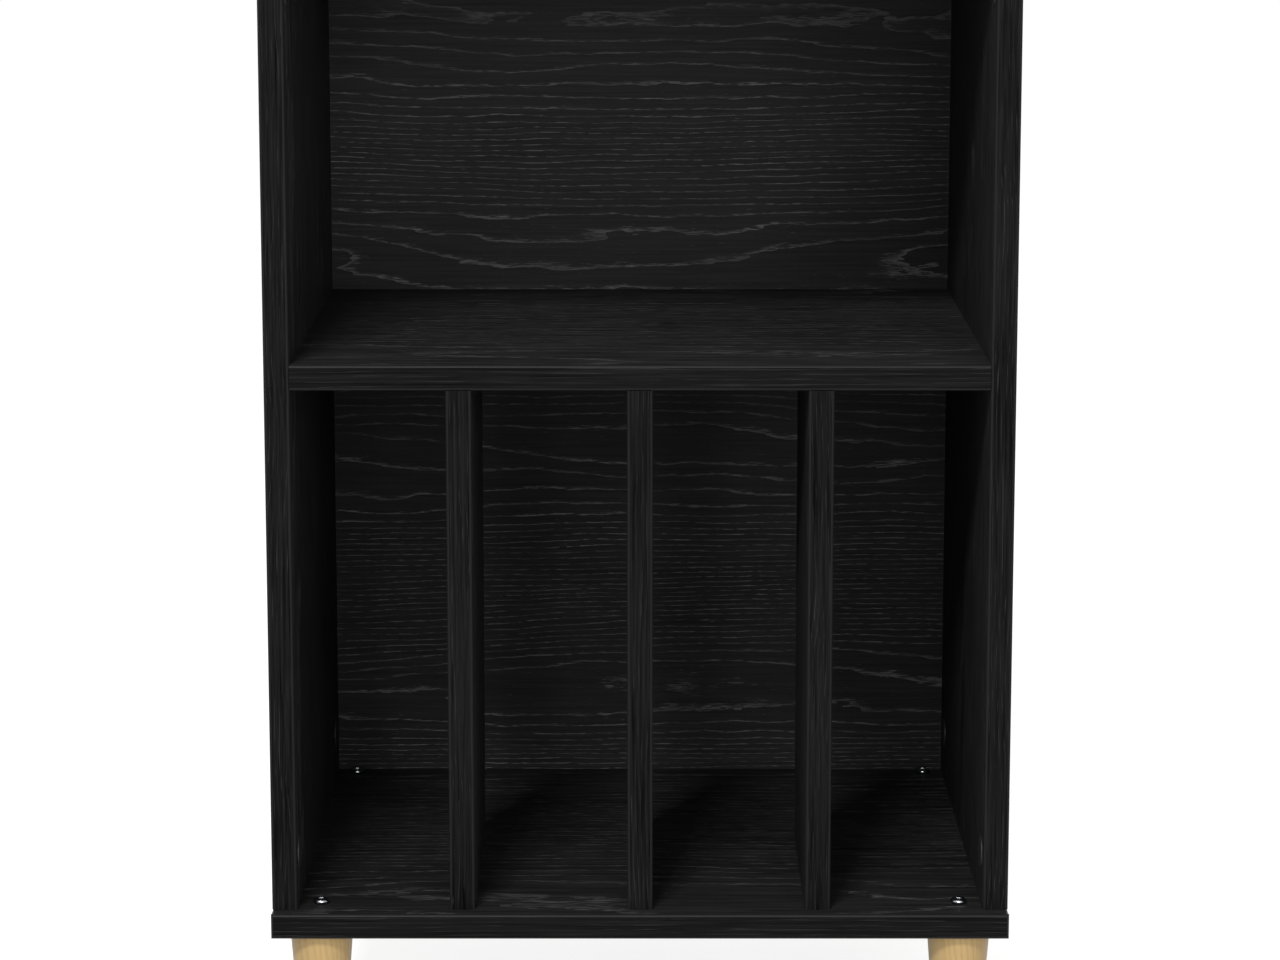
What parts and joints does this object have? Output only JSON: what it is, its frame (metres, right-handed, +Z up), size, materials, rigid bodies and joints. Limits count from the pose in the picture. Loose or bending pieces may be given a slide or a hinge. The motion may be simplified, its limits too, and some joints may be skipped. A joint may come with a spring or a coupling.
{
  "type": "turntable stand",
  "caption": "Flat-pack turntable stand of black oak laminate: open bay over divided record bay, top and base proud of the sides, round tapered pine legs.",
  "frame": {"origin": "middle of the stand's footprint, on the floor under the leg glides", "axes": "+Z up, +X to the right of someone who faces the open front, front faces -Y"},
  "size_m": [0.465, 0.38, 0.742],
  "materials": {
    "black_oak_laminate": "satin black oak melamine laminate, grain from side to side on the flat boards and upright on the sides and dividers",
    "black_oak_edge_band": "satin black oak edge band, grain along the band",
    "black_oak_hardboard": "satin black oak print on hardboard, grain from side to side",
    "pine": "turned pine with a clear satin lacquer",
    "zinc": "die-cast zinc, as cast",
    "bright_chrome": "bright chrome plate",
    "steel": "bright zinc-plated steel",
    "black_plastic": "fine-textured moulded plastic",
    "beech": "plain fluted beech dowel"
  },
  "bodies": {
    "root": {"top_panel": "black_oak_laminate", "base_panel": "black_oak_laminate", "left_side_panel": "black_oak_laminate", "right_side_panel": "black_oak_laminate", "middle_shelf": "black_oak_laminate", "back_panel": "black_oak_hardboard", "left_divider": "black_oak_laminate", "centre_divider": "black_oak_laminate", "right_divider": "black_oak_laminate", "top_front_band": "black_oak_edge_band", "top_rear_band": "black_oak_edge_band", "top_left_band": "black_oak_edge_band", "top_right_band": "black_oak_edge_band", "base_front_band": "black_oak_edge_band", "base_rear_band": "black_oak_edge_band", "base_left_band": "black_oak_edge_band", "base_right_band": "black_oak_edge_band", "left_side_band": "black_oak_edge_band", "right_side_band": "black_oak_edge_band", "shelf_band": "black_oak_edge_band", "left_divider_front_band": "black_oak_edge_band", "centre_divider_front_band": "black_oak_edge_band", "right_divider_front_band": "black_oak_edge_band", "left_divider_rear_band": "black_oak_edge_band", "centre_divider_rear_band": "black_oak_edge_band", "right_divider_rear_band": "black_oak_edge_band", "front_left_leg": "pine", "front_right_leg": "pine", "rear_left_leg": "pine", "rear_right_leg": "pine", "leg_inserts": "zinc", "leg_bolts": "bright_chrome", "leg_glides": "black_plastic", "glide_nails": "steel", "base_cams": "zinc", "top_cams": "zinc", "shelf_cams": "zinc", "base_cam_bolts": "steel", "top_cam_bolts": "steel", "shelf_cam_bolts": "steel", "base_cam_covers": "black_plastic", "top_cam_covers": "black_plastic", "base_dowels": "beech", "top_dowels": "beech", "shelf_dowels": "beech", "divider_dowels": "beech", "divider_screws": "steel", "back_screws": "steel"}
  },
  "joints": []
}
